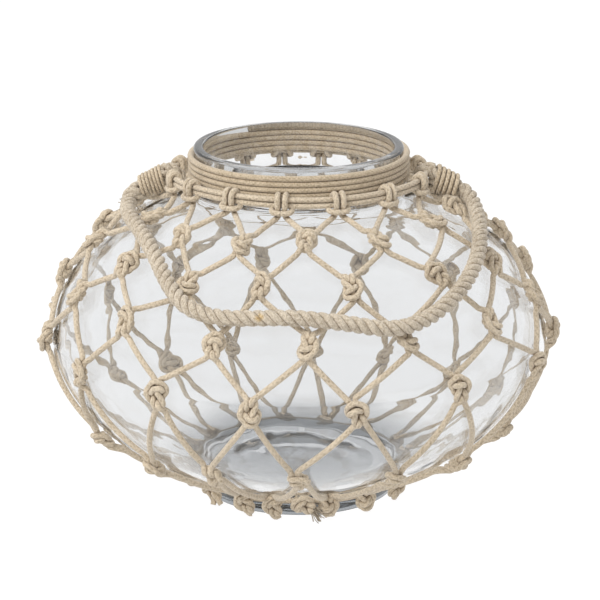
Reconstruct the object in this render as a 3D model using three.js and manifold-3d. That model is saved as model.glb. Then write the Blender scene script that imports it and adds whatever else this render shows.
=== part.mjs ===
// Hanging lantern: a squat glass bowl dressed in a hand-tied cotton net, with a rope handle.
// Millimetres, +Z up, the origin at the middle of the foot's underside, the front towards -Y.
// Angles round the bowl are in degrees from the front, growing towards +X.

import * as THREE from 'three';
import { mergeVertices } from 'three/addons/utils/BufferGeometryUtils.js';
import Module from 'manifold-3d';

const wasm = await Module();
wasm.setup();

// ---------------------------------------------------------------- driving dimensions

const bowlRadius = 165;          // outside of the glass at its widest
const bowlWidestHeight = 109;    // height of the widest line above the table
const rimHeight = 235;           // top of the rim above the table
const neckHeight = 29.7;         // from the shoulder up to the rim
const neckRadius = 69;           // outside of the neck
const neckWall = 6.5;            // thickness of the neck and its ground rim
const shoulderBulge = 2.8;       // roundness of the shoulder across
const shoulderSlope = 1.58;      // roundness of the shoulder upwards
const bellyDrop = 102.4;         // from the widest line to where the belly would close
const bellyBulge = 2.05;
const bellySlope = 1.87;
const wall = 4;                  // thickness of the blown wall
const rimRounding = 1.2;
const footRadius = 65.5;         // outside of the cast foot
const footEdge = 1.5;            // rounding of the foot's lower edge
const baseThickness = 15;        // glass under the middle of the bowl

const gap = 0.3;                 // between pieces that touch

const netCord = 3.5;             // diameter of the net's cotton cord
const netKnotWidth = 3.57 * netCord;    // an overhand knot in two cords, across
const netKnotLength = 3.29 * netCord;   // and down the bowl
const netKnotDepth = 2.46 * netCord;    // and off the glass
const knotRoom = 0.5;            // between a knot and the neighbour's cord that it ties in
const knotClearance = 0.1;       // between a knot and the glass, beyond the gap
const cordClearance = 0.45;      // between a straight cord's corners and the curved glass

const wrapCord = 3.4;            // the cord wound round the neck
const wrapPitch = wrapCord + gap;
const wrapBelowRim = 3.6;        // from the rim's top to the middle of the first turn
const wrapAboveShoulder = 6.8;   // bare glass left below the last turn
const wrapClearance = 0.9;       // between the turns' corners and the neck
const wrapStart = 210;           // where round the neck the cord's end is tucked in

const collarCord = 3.5;          // the two strands that carry net and handle
const collarAboveShoulder = 9.7; // from the shoulder to the middle of the two strands
const collarClearance = 0.3;     // between the strands' corners and the wrap
const collarPull = 7.4;          // how far the handle draws the strands out at each side

// A net cord hangs on the collar by a lark's head, folded over both strands.
const larkHeadWidth = 3.14 * netCord;
const larkHeadLength = 2 * collarCord + gap + 2.2 * netCord;
const larkHeadDepth = collarCord + 1.63 * netCord;
const larkHeadSink = 1.2;        // how far the head's middle lies in towards the strands
const landingReach = 10;         // from the lark's head out to where the cord meets the shoulder
const landingShare = 0.4;        // and how far round to the first knot it is by then

const hemKnot = 2.4 * netCord;   // the lumps where the net's ends are tied to the hem
const hemKnotOut = 1.6;          // how far a lump stands off the foot
const hemClearance = 1.2;        // between the hem's corners and the foot
const hemTuck = 0.4;             // how far hem and lumps sit up under the belly
const hemSide = 2.8;             // degrees from a lump's middle to where a cord goes in

const handleRope = 10.5;         // three-strand rope
const ropeStraight = 2.4;        // the rope's straight end, out of its whipping
const eyeRope = 6.6;             // the same rope squeezed flat where it goes round the collar
const whippingHeight = 20;       // the doubled rope and the twine bound round it, by the eye
const whippingTaper = 3.5;       // how much lower it is where the rope leaves it
const whippingWidth = 13;
const whippingLength = 14;
const whippingRoom = 7.05;      // from the glass up to the whipping's outer end, over the net
const whippingForward = 7;       // how far that end comes forward of the collar
const eyeReach = 5;              // from the collar's strands out to the whipping's inner end
const eyeStraight = 2.2;         // the eye's straight ends, into the whipping
const eyeDrop = 2.44;            // from the collar down to the whipping's inner end
const eyeForward = 2.28;         // and forward
const eyeRoom = 0.9;             // between the eye and the strands it holds

// How finely the round pieces are cut.
const glassSegments = 32;
const ringSegments = 40;
const wrapStepsPerTurn = 20;
const cordSides = 5;
const eyeSides = 8;
const ropeSides = 9;
const whippingSides = 14;

// The net as it was tied: for each row, its height as a share of the rise from the widest
// line to where the shoulder would close (or of the drop below it), where each knot lies round
// the bowl, and how far it sits above or below its row. Rows 2 and 4 lie under the hanging
// cords, rows 1, 3 and 5 between them.
const collarAngles = [-78, -60, -34, -8, 19, 47, 73, 105, 126, 147, 168, 189, 210, 231, 255];
const netRows = [
  {
    share: 0.814,
    angles: [-66, -43, -19, 3, 28, 57, 80, 110, 132, 155, 178, 201, 223, 246, 264],
    lifts: [1, -1, -1, 2, 0, 2, 2, 1, -1, 0, 1, 0, -1, 1, -1],
  },
  {
    share: 0.618,
    angles: [-82, -54, -30, -10, 14, 40, 64, 91, 116, 141, 165, 189, 212, 235, 257],
    lifts: [0, 1, -1, 2, 0, 1, -2, 1, 0, -2, 1, 0, 1, -1, 0],
  },
  {
    share: 0.353,
    angles: [-67, -44, -19, 2, 25, 50, 75, 103, 128, 153, 177, 200, 223, 246, 269],
    lifts: [3, 2, -2, -1, -1, -3, -3, 0, 2, 1, -2, 0, 2, -1, 1],
  },
  {
    share: 0.01,
    angles: [-79, -55, -31, -10, 12, 36, 65, 88, 114, 140, 165, 189, 212, 235, 258],
    lifts: [2, 0, 2, -3, -3, 3, -3, -1, 2, 0, -2, 2, 1, -2, 0],
  },
  {
    share: -0.547,
    angles: [-64, -42, -22, 0, 26, 51, 74, 100, 127, 152, 176, 200, 223, 247, 270],
    lifts: [3, -2, 3, 5, -1, -6, 0, 2, -2, 1, 0, 3, -2, 1, 0],
  },
];
const hemAngles = [-75, -52, -29, -13, 15, 36, 62, 88, 113, 140, 164, 188, 211, 236, 260];

// The handle rope's middle as it lies on the front of the bowl, from the left whipping
// to the right one.
const handleRoute = [
  [-109.4, -8.2, 204.5], [-111.3, -13, 200], [-111, -26, 198], [-108, -44, 197],
  [-102, -62, 195], [-96, -79.5, 191.5], [-90, -95, 186], [-84.5, -109, 179], [-78, -123, 172],
  [-69.5, -135, 166],
  [-57, -143, 162.5], [-40, -149, 162], [-21, -152, 163], [-3, -153.5, 163.5], [15, -154, 162],
  [33, -153.5, 159.5], [50, -152, 156.5], [65, -147, 156], [79, -137, 158.5], [91, -124.5, 163.5],
  [101.5, -108.5, 169.5], [109.5, -90, 176.5], [114.5, -70, 184], [116, -50, 190.5],
  [115.5, -31, 196], [113.5, -16, 200.5], [109.8, -8.4, 204.8],
].map(([x, y, z]) => new THREE.Vector3(x, y, z));

// ---------------------------------------------------------------- finishes

const glass = () => new THREE.MeshStandardMaterial({
  color: 0xdfe4e6, roughness: 0.04, metalness: 0, transparent: true, opacity: 0.35,
});
const cotton = (color) => new THREE.MeshStandardMaterial({ color, roughness: 0.9, metalness: 0 });

// ---------------------------------------------------------------- solids

function toSolid(geometry) {
  const bare = geometry.clone();
  bare.deleteAttribute('normal');
  bare.deleteAttribute('uv');
  const merged = mergeVertices(bare, 1e-4);
  return new wasm.Manifold(new wasm.Mesh({
    numProp: 3,
    vertProperties: new Float32Array(merged.attributes.position.array),
    triVerts: new Uint32Array(merged.index.array),
  }));
}

function toGeometry(solid) {
  const { vertProperties, triVerts } = solid.getMesh();
  const geometry = new THREE.BufferGeometry();
  geometry.setAttribute('position', new THREE.BufferAttribute(vertProperties, 3));
  geometry.setIndex(new THREE.BufferAttribute(triVerts, 1));
  geometry.computeVertexNormals();
  return geometry;
}

function joined(geometries) {
  return geometries.map(toSolid).reduce((whole, piece) => whole.add(piece));
}

// A cord's line through exactly the points given, one step from each point to the next.
class Route extends THREE.Curve {
  constructor(points) {
    super();
    this.points = points;
  }

  getPointAt(u) {
    const place = u * (this.points.length - 1);
    const first = Math.min(Math.floor(place), this.points.length - 2);
    return this.points[first].clone().lerp(this.points[first + 1], place - first);
  }

  getPoint(u) {
    return this.getPointAt(u);
  }

  getSpacedPoints() {
    return this.points.map((point) => point.clone());
  }

  getTangentAt(u) {
    const here = Math.round(u * (this.points.length - 1));
    const before = this.points[Math.max(here - 1, 0)];
    const after = this.points[Math.min(here + 1, this.points.length - 1)];
    return after.clone().sub(before).normalize();
  }

  getTangent(u) {
    return this.getTangentAt(u);
  }
}

function tube(points, diameter, sides) {
  const section = new THREE.Shape();
  section.absarc(0, 0, diameter / 2, 0, 2 * Math.PI);
  const outline = new THREE.Shape(section.getSpacedPoints(sides).slice(0, sides));
  return new THREE.ExtrudeGeometry(outline, {
    steps: points.length - 1,
    extrudePath: new Route(points),
    bevelEnabled: false,
  });
}

// A turned piece: profile points are [distance from the axis, height].
function turned(profile, segments) {
  const points = profile.map(([r, z]) => new THREE.Vector2(r, z));
  return new THREE.LatheGeometry(points, segments).rotateX(Math.PI / 2);
}

function ring(radius, height, diameter, sides, segments) {
  const section = [];
  for (let i = 0; i <= sides; i += 1) {
    const turn = (i % sides) * 2 * Math.PI / sides;
    section.push([radius + diameter / 2 * Math.cos(turn), height + diameter / 2 * Math.sin(turn)]);
  }
  return turned(section, segments);
}

function around(angle, radius, height) {
  const turn = THREE.MathUtils.degToRad(angle);
  return new THREE.Vector3(radius * Math.sin(turn), -radius * Math.cos(turn), height);
}

// ---------------------------------------------------------------- the glass's outline

// The turn, in radians, at which the outside comes in to a radius.
const turnIn = (radius, bulge) => Math.acos((radius / bowlRadius) ** (bulge / 2));

// From the widest line to where the shoulder would close, if it had no neck.
const shoulderHeight = rimHeight - neckHeight;
const shoulderRise = (shoulderHeight - bowlWidestHeight)
  / Math.sin(turnIn(neckRadius, shoulderBulge)) ** (2 / shoulderSlope);

// Outside of the glass from the foot to the neck, [distance from the axis, height],
// at turns from -90 (belly) through 0 (widest) to 90 (shoulder).
function outside(turn) {
  const t = THREE.MathUtils.degToRad(Math.abs(turn));
  const up = turn >= 0;
  const bulge = up ? shoulderBulge : bellyBulge;
  const slope = up ? shoulderSlope : bellySlope;
  const reach = up ? shoulderRise : -bellyDrop;
  return [
    bowlRadius * Math.cos(t) ** (2 / bulge),
    bowlWidestHeight + reach * Math.sin(t) ** (2 / slope),
  ];
}

function turnAt(radius, up) {
  const turn = THREE.MathUtils.radToDeg(turnIn(radius, up ? shoulderBulge : bellyBulge));
  return up ? turn : -turn;
}

const neckTurn = turnAt(neckRadius, true);
const footTurn = turnAt(footRadius, false);
const footHeight = outside(footTurn)[1];

function spread(from, to, count) {
  return Array.from({ length: count + 1 }, (_, i) => from + (to - from) * i / count);
}

// The outside from foot to neck as a fine line, with the distance travelled along it, so that
// a cord can be led evenly over the glass.
const skin = spread(footTurn, neckTurn, 240).map(outside);
const travelled = [0];
for (let i = 1; i < skin.length; i += 1) {
  const step = Math.hypot(skin[i][0] - skin[i - 1][0], skin[i][1] - skin[i - 1][1]);
  travelled.push(travelled[i - 1] + step);
}

function travelTo(height) {
  const i = Math.max(1, skin.findIndex(([, z]) => z >= height));
  const share = (height - skin[i - 1][1]) / (skin[i][1] - skin[i - 1][1]);
  return travelled[i - 1] + share * (travelled[i] - travelled[i - 1]);
}

// A point standing off the glass, at a distance travelled up from the foot.
function onGlass(angle, travel, standoff) {
  const next = travelled.findIndex((distance) => distance >= travel);
  const i = next < 1 ? skin.length - 1 : next;
  const share = (travel - travelled[i - 1]) / (travelled[i] - travelled[i - 1]);
  const dr = skin[i][0] - skin[i - 1][0];
  const dz = skin[i][1] - skin[i - 1][1];
  const length = Math.hypot(dr, dz);
  const r = skin[i - 1][0] + share * dr + standoff * dz / length;
  const z = skin[i - 1][1] + share * dz - standoff * dr / length;
  return around(angle, r, z);
}

// ---------------------------------------------------------------- the glass bowl

const innerStart = 4;            // degrees short of the neck and the foot at which the
const innerEnd = 8;              // inside's curve stops

function glassBowl() {
  const inset = ([r, z], turn) => {
    const [r2, z2] = outside(turn + 0.01);
    const length = Math.hypot(r2 - r, z2 - z);
    return [r - wall * (z2 - z) / length, z + wall * (r2 - r) / length];
  };
  const boreRadius = neckRadius - neckWall;
  const outer = spread(footTurn, neckTurn, 16).map(outside);
  const inner = spread(neckTurn - innerStart, footTurn + innerEnd, 11).map((turn) => inset(outside(turn), turn))
    .filter(([r, z]) => r > boreRadius + 1 && z > baseThickness + 1);
  const profile = [
    [0, 0],
    [footRadius - footEdge, 0],
    [footRadius, footEdge],
    ...outer,
    [neckRadius, rimHeight - rimRounding],
    [neckRadius - rimRounding, rimHeight],
    [boreRadius + rimRounding, rimHeight],
    [boreRadius, rimHeight - rimRounding],
    [boreRadius, shoulderHeight - wall],
    ...inner,
    [footRadius - 2 * wall, baseThickness],
    [0, baseThickness],
  ];
  return turned(profile, glassSegments);
}

// ---------------------------------------------------------------- the cord round the neck

const wrapMiddle = neckRadius + gap + wrapCord / 2 + wrapClearance;
const wrapOutside = wrapMiddle + wrapCord / 2;
const wrapTurns = (neckHeight - wrapBelowRim - wrapCord / 2 - wrapAboveShoulder) / wrapPitch;

function neckWrap() {
  const steps = Math.round(wrapTurns * wrapStepsPerTurn);
  const points = spread(0, wrapTurns, steps).map((turns) => around(
    wrapStart - 360 * turns,
    wrapMiddle,
    rimHeight - wrapBelowRim - wrapPitch * turns,
  ));
  return tube(points, wrapCord, cordSides);
}

// ---------------------------------------------------------------- the collar

const collarHeight = shoulderHeight + collarAboveShoulder;
const collarRadius = wrapOutside + gap + collarCord / 2 + collarClearance;
const collarSpacing = collarCord + gap;

// The strands leave their circle towards the two sides, where the handle draws them out.
function drawnOut(radius, turn) {
  return radius + collarPull * Math.abs(Math.sin(turn)) ** 6;
}

function collarStrand(height, diameter) {
  const geometry = ring(collarRadius, height, diameter, cordSides, ringSegments);
  const position = geometry.attributes.position;
  for (let i = 0; i < position.count; i += 1) {
    const turn = Math.atan2(position.getX(i), -position.getY(i));
    const radius = drawnOut(Math.hypot(position.getX(i), position.getY(i)), turn);
    position.setXY(i, radius * Math.sin(turn), -radius * Math.cos(turn));
  }
  return geometry;
}

const collarHeights = [collarHeight + collarSpacing / 2, collarHeight - collarSpacing / 2];

// ---------------------------------------------------------------- the net

const standoff = netCord / 2 + gap + cordClearance;
const knotStandoff = netKnotDepth / 2 + gap + knotClearance;
const cutterDepth = 5;           // a knot's cutter grows this many times as much off the glass
const count = collarAngles.length;
const nearest = (angle, other) => angle + 360 * Math.round((other - angle) / 360);

function knotPlace(row, index) {
  const { share, angles, lifts } = netRows[row];
  const height = bowlWidestHeight + share * (share > 0 ? shoulderRise : bellyDrop);
  return { angle: angles[index % count], travel: travelTo(height + lifts[index % count]) };
}

// A knot is an egg set on the glass: wide across, shorter down the bowl, shallow off it.
// Grown, as a cutter, it grows most off the glass, so that no sliver of cord stays under it.
function knotSolid(place, grow) {
  const centre = onGlass(place.angle, place.travel, knotStandoff);
  const out = onGlass(place.angle, place.travel, knotStandoff + 1).sub(centre);
  const across = around(place.angle + 90, 1, 0);
  const down = out.clone().cross(across);
  const egg = new THREE.IcosahedronGeometry(1, 0);
  egg.applyMatrix4(new THREE.Matrix4().makeBasis(
    across.multiplyScalar(netKnotWidth / 2 + grow),
    down.multiplyScalar(netKnotLength / 2 + grow),
    out.multiplyScalar(netKnotDepth / 2 + cutterDepth * grow),
  ).setPosition(centre));
  return toSolid(egg);
}

// A length of net cord lying on the glass from one knot to the next.
function stretch(from, to, steps, standoffs = [standoff, standoff]) {
  const end = nearest(to.angle, from.angle);
  return spread(0, 1, steps).map((share) => onGlass(
    from.angle + (end - from.angle) * share,
    from.travel + (to.travel - from.travel) * share,
    standoffs[0] + (standoffs[1] - standoffs[0]) * share,
  ));
}

const larkRadius = collarRadius + larkHeadDepth / 2 - larkHeadSink;
const larkFoot = collarHeight - larkHeadLength / 2 + netCord / 2;

// From the collar the cord slants down to the shoulder and along it to the first row.
function drop(index, to) {
  const angle = collarAngles[index];
  const radius = drawnOut(larkRadius, THREE.MathUtils.degToRad(angle));
  const landing = {
    angle: angle + (nearest(to.angle, angle) - angle) * landingShare,
    travel: travelTo(outside(turnAt(radius + landingReach, true))[1]),
  };
  return [around(angle, radius, larkFoot), ...stretch(landing, to, 1)];
}

const hemRadius = footRadius + gap + netCord / 2 + hemClearance;
const hemHeight = footHeight - netCord / 2 - gap + hemTuck;
const hemKnotPlace = (index, aside = 0) => around(
  hemAngles[index % count] + aside,
  footRadius + hemKnot / 2 + hemKnotOut,
  footHeight - hemKnot / 2 + hemTuck,
);

function hemKnotSolid(index, grow) {
  const egg = new THREE.IcosahedronGeometry(hemKnot / 2 + grow, 0);
  egg.translate(...hemKnotPlace(index).toArray());
  return toSolid(egg);
}

// From the last row the cord runs round under the belly to its side of a lump on the hem.
function runToHem(from, index, aside) {
  const knot = hemKnotPlace(index, aside);
  const lowest = { angle: hemAngles[index % count] + aside, travel: travelled[0] };
  const onBelly = stretch(from, lowest, 4).slice(0, 4);
  return [...onBelly, knot];
}

// One cord folded in half: it hangs on the collar by a lark's head, and its two halves are tied
// to the neighbours' in rows 1, 3 and 5 and to each other in rows 2 and 4.
function netCordSolid(index, wrapSolid, strandSolids) {
  const before = (index + count - 1) % count;
  const right = [0, 1, 2, 3, 4].map((row) => knotPlace(row, index));
  const left = [0, 1, 2, 3, 4].map((row) => knotPlace(row, row % 2 === 0 ? before : index));
  const steps = [2, 2, 3, 5];
  const rightLine = [...drop(index, right[0])];
  for (let row = 1; row < 5; row += 1) {
    rightLine.push(...stretch(right[row - 1], right[row], steps[row - 1]).slice(1));
  }
  rightLine.push(...runToHem(right[4], index + 1, -hemSide).slice(1));
  const whole = [
    tube(rightLine, netCord, cordSides),
    tube(runToHem(right[4], index, hemSide), netCord, cordSides),
  ];
  const knots = [0, 1, 2, 3, 4].map((row) => knotSolid(right[row], 0));
  const leftLines = [
    drop(index, left[0]),
    [...stretch(left[0], left[1], steps[0]), ...stretch(left[1], left[2], steps[1]).slice(1)],
    [...stretch(left[2], left[3], steps[2]), ...stretch(left[3], left[4], steps[3]).slice(1)],
  ];
  let leftHalf = joined(leftLines.map((line) => tube(line, netCord, cordSides)));
  for (const row of [0, 2, 4]) {
    leftHalf = leftHalf.subtract(knotSolid(left[row], knotRoom));
  }
  leftHalf = leftHalf.subtract(toSolid(tube(drop(before, left[0]), netCord + 2 * gap, cordSides)));
  const lark = new THREE.IcosahedronGeometry(1, 0);
  const larkAngle = THREE.MathUtils.degToRad(collarAngles[index]);
  lark.scale(larkHeadWidth / 2, larkHeadDepth / 2, larkHeadLength / 2);
  lark.rotateZ(larkAngle);
  lark.translate(...around(collarAngles[index], drawnOut(larkRadius, larkAngle), collarHeight)
    .toArray());
  let cord = joined(whole).add(leftHalf).add(toSolid(lark));
  cord = knots.reduce((sum, knot) => sum.add(knot), cord);
  cord = cord.subtract(wrapSolid);
  cord = strandSolids.reduce((rest, strand) => rest.subtract(strand), cord);
  cord = cord.subtract(hemKnotSolid(index, gap)).subtract(hemKnotSolid((index + 1) % count, gap));
  return cord;
}

// ---------------------------------------------------------------- the handle

const eyeRadius = (collarSpacing + collarCord + eyeRope) / 2 + eyeRoom;
const sideReach = drawnOut(collarRadius, Math.PI / 2);
const whippingInner = sideReach + eyeReach + collarCord / 2;
const whippingOuter = whippingInner + whippingLength;
const whippingDrop = collarHeight - outside(turnAt(whippingOuter, true))[1] - whippingRoom
  - (whippingHeight - whippingTaper) / 2;

// The whipping's own line, from its inner end out to where the rope leaves it.
function whippingPoint(side, x) {
  const share = (x - whippingInner) / whippingLength;
  return new THREE.Vector3(
    side * x,
    -eyeForward - (whippingForward - eyeForward) * share,
    collarHeight - eyeDrop - (whippingDrop - eyeDrop) * share,
  );
}

function eye(side) {
  const bend = spread(90, 270, 8).map((turn) => {
    const t = THREE.MathUtils.degToRad(turn);
    return new THREE.Vector3(
      side * (sideReach - (collarCord + eyeRope) / 2 - eyeRoom + eyeRadius * (1 + Math.cos(t))),
      0,
      collarHeight + eyeRadius * Math.sin(t),
    );
  });
  const end = whippingPoint(side, whippingInner - gap);
  const square = end.clone().setX(end.x - side * eyeStraight);
  const lift = new THREE.Vector3(0, 0, whippingHeight / 2 - eyeRope / 2);
  return tube([
    end.clone().add(lift), square.clone().add(lift), ...bend,
    square.clone().sub(lift), end.clone().sub(lift),
  ], eyeRope, eyeSides);
}

function whipping(side) {
  const outline = new THREE.Shape();
  outline.absellipse(0, 0, whippingWidth / 2, whippingHeight / 2, 0, 2 * Math.PI);
  const section = new THREE.Shape(outline.getSpacedPoints(whippingSides).slice(0, whippingSides));
  const geometry = new THREE.ExtrudeGeometry(section, {
    depth: whippingLength, steps: 1, bevelEnabled: false,
  });
  // Laid along X with its ends square to X, then leaned down and forward.
  const position = geometry.attributes.position;
  const inner = whippingPoint(side, whippingInner);
  const outer = whippingPoint(side, whippingOuter);
  for (let i = 0; i < position.count; i += 1) {
    const share = position.getZ(i) / whippingLength;
    const middle = inner.clone().lerp(outer, share);
    const across = side * position.getX(i);
    const up = position.getY(i) * (1 - share * whippingTaper / whippingHeight);
    position.setXYZ(i, middle.x, middle.y + across, middle.z + up);
  }
  return geometry;
}

function handle() {
  const start = whippingPoint(-1, whippingOuter + gap);
  const finish = whippingPoint(1, whippingOuter + gap);
  const out = new THREE.Vector3(ropeStraight, 0, 0);
  const line = new THREE.CatmullRomCurve3([
    start.clone().sub(out), ...handleRoute, finish.clone().add(out),
  ]);
  const steps = 2 * (handleRoute.length + 1);
  return tube([start, ...line.getPoints(steps), finish], handleRope, ropeSides);
}

// ---------------------------------------------------------------- the lantern

const lantern = new THREE.Group();

function add(name, geometry, material) {
  const mesh = new THREE.Mesh(geometry, material);
  mesh.name = name;
  lantern.add(mesh);
}

add('glass_bowl', glassBowl(), glass());
add('neck_wrap', neckWrap(), cotton(0xd6c9b2));
add('collar_cord_upper', collarStrand(collarHeights[0], collarCord), cotton(0xd2c4ac));
add('collar_cord_lower', collarStrand(collarHeights[1], collarCord), cotton(0xd2c4ac));

// What the net cords are cut by to lie clear of the wrap and of the collar's strands, with
// the groove between the strands filled so that no sliver stays in it.
const wrapFoot = shoulderHeight + wrapAboveShoulder + gap;
const clearOfWrap = toSolid(turned([
  [neckRadius, wrapFoot],
  [wrapOutside + gap, wrapFoot],
  [wrapOutside + gap, rimHeight],
  [neckRadius, rimHeight],
  [neckRadius, wrapFoot],
], ringSegments));
const strandRoom = 0.75;
const clearOfStrands = [
  collarStrand(collarHeights[0], collarCord + strandRoom),
  collarStrand(collarHeights[1], collarCord + strandRoom),
  collarStrand(collarHeight, collarCord / 2 + strandRoom),
].map(toSolid);
for (let index = 0; index < count; index += 1) {
  const cord = netCordSolid(index, clearOfWrap, clearOfStrands);
  add(`net_cord_${String(index + 1).padStart(2, '0')}`, toGeometry(cord), cotton(0xd0c0a4));
}

let hem = toSolid(ring(hemRadius, hemHeight, netCord, cordSides, ringSegments));
for (let index = 0; index < count; index += 1) {
  hem = hem.add(hemKnotSolid(index, 0));
}
add('hem_cord', toGeometry(hem), cotton(0xd0c0a4));

for (const [side, name] of [[-1, 'left'], [1, 'right']]) {
  add(`handle_eye_${name}`, eye(side), cotton(0xd8ccb6));
  add(`whipping_${name}`, whipping(side), cotton(0xcbbb9e));
}
add('handle_rope', handle(), cotton(0xd8ccb6));

export default lantern;
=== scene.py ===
"""A squat glass lantern dressed in a hand-tied cotton net, with a rope handle. Metres, +Z up."""

import math

import bpy
import numpy as np
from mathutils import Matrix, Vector


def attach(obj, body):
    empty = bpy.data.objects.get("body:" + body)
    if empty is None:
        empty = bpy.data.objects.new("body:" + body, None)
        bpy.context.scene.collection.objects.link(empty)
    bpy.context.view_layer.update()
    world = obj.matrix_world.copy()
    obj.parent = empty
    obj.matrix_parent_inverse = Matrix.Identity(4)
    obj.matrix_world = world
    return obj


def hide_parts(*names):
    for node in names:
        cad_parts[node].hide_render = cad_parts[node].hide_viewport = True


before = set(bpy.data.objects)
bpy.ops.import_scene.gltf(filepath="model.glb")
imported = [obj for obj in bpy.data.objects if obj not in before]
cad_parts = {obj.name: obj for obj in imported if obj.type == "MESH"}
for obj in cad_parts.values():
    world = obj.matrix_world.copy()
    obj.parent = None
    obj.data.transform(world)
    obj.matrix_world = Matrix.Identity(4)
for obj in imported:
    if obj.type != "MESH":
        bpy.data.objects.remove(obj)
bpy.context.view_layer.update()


# ------------------------------------------------------------------ where it is looked at from
# The lantern stands on a table, a little below the eye of someone seated some way off. They see
# a little down into its open mouth, and the handle hanging down the front.

mm = 0.001
view_middle = Vector((0.8, 0, 128.3)) * mm
view_distance = 1.7
view_height = math.radians(16.91)
lens_mm = 152.81
sensor_mm = 36

camera = bpy.data.objects.new("camera", bpy.data.cameras.new("camera"))
camera.data.lens = lens_mm
camera.data.sensor_width = sensor_mm
camera.location = view_middle + view_distance * Vector(
    (0, -math.cos(view_height), math.sin(view_height))
)
camera.rotation_euler = (math.pi / 2 - view_height, 0, 0)
bpy.context.collection.objects.link(camera)
bpy.context.scene.camera = camera


# ------------------------------------------------------------------ the glass bowl
# Mould-blown clear glass: a thin wavy wall, a thick cast foot and a ground rim. It carries
# everything else. Its outline is two stretches of a squared-off circle, belly and shoulder.

bowl_radius = 165 * mm
widest_height = 109 * mm
rim_height = 235 * mm
neck_height = 29.7 * mm
neck_radius = 69 * mm
neck_wall = 6.5 * mm
shoulder_bulge = 2.8
shoulder_slope = 1.58
belly_drop = 102.4 * mm
belly_bulge = 2.05
belly_slope = 1.87
wall = 4 * mm
neck_floor = 206 * mm
rim_rounding = 1.8 * mm
ground_depth = 4 * mm
foot_radius = 65.5 * mm
foot_rounding = 1.5 * mm
foot_side = 1.6 * mm
base_thickness = 15 * mm
base_glass = base_thickness + 2 * mm
punt_radius = 52 * mm
punt_rise = 4 * mm
wall_waviness = 0.45 * mm
glass_sides = 192
wall_tint = (0.875, 0.88, 0.885, 1)
# Darker glass towards the foot, in the base and in the foot's side: partly the thick glass's own
# tint, partly painted shade for the shadow and inner reflections seen through it.
thick_glass_and_shade_tint = (0.13, 0.145, 0.16, 1)
base_glass_and_shade_tint = (0.33, 0.345, 0.36, 1)
foot_glass_and_shade_tint = (0.10, 0.11, 0.12, 1)
blown_ripple = 0.6 * mm
cast_ripple = 1.2 * mm
ground_ripple = 0.8 * mm
rim_tint = (0.60, 0.61, 0.62, 1)
# How high, and over what span, the glass darkens towards the foot, partly as painted shade.
darker_glass_below = 28 * mm
darker_glass_fade = 15 * mm
straight_light = (0.985, 0.985, 0.985, 1)
glass_ior = 1.47
swirls_a_metre = 26
seeds_a_metre = 420


def turn_in(radius, bulge):
    """The turn, from the widest line, at which the outside has come in to a radius."""
    return math.acos((radius / bowl_radius) ** (bulge / 2))


shoulder_height = rim_height - neck_height
neck_turn = turn_in(neck_radius, shoulder_bulge)
foot_turn = -turn_in(foot_radius, belly_bulge)
shoulder_rise = (shoulder_height - widest_height) / math.sin(neck_turn) ** (2 / shoulder_slope)


def outside(turn):
    """The outside of the glass at a turn: its distance from the axis and its height."""
    turn = np.asarray(turn, float)
    up = turn >= 0
    bulge = np.where(up, shoulder_bulge, belly_bulge)
    slope = np.where(up, shoulder_slope, belly_slope)
    reach = np.where(up, shoulder_rise, -belly_drop)
    radius = bowl_radius * np.cos(turn) ** (2 / bulge)
    height = widest_height + reach * np.sin(np.abs(turn)) ** (2 / slope)
    return np.stack([radius, height], -1)


skin = outside(np.linspace(foot_turn, neck_turn, 500))
skin_steps = np.diff(skin, axis=0)
skin_travel = np.concatenate([[0], np.cumsum(np.hypot(*skin_steps.T))])
skin_slope = np.gradient(skin, skin_travel, axis=0)


def travel_to(height):
    """How far up along the glass from the foot a height is."""
    return np.interp(height, skin[:, 1], skin_travel)


def around(angle, radius, height):
    """Points at angles in degrees from the front, growing towards +X."""
    turn = np.radians(angle)
    parts = np.broadcast_arrays(radius * np.sin(turn), -radius * np.cos(turn), height)
    return np.stack(parts, -1)


def on_glass(angle, travel, standoff):
    """Points standing off the glass, at distances travelled up along it."""
    radius = np.interp(travel, skin_travel, skin[:, 0])
    height = np.interp(travel, skin_travel, skin[:, 1])
    slope_out = np.interp(travel, skin_travel, skin_slope[:, 0])
    slope_up = np.interp(travel, skin_travel, skin_slope[:, 1])
    return around(angle, radius + standoff * slope_up, height - standoff * slope_out)


def rounded(corner, radius, start, end, steps=5):
    """An arc round a middle, from one angle in degrees to another."""
    turns = np.radians(np.linspace(start, end, steps))
    return np.stack([corner[0] + radius * np.cos(turns), corner[1] + radius * np.sin(turns)], -1)


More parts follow.
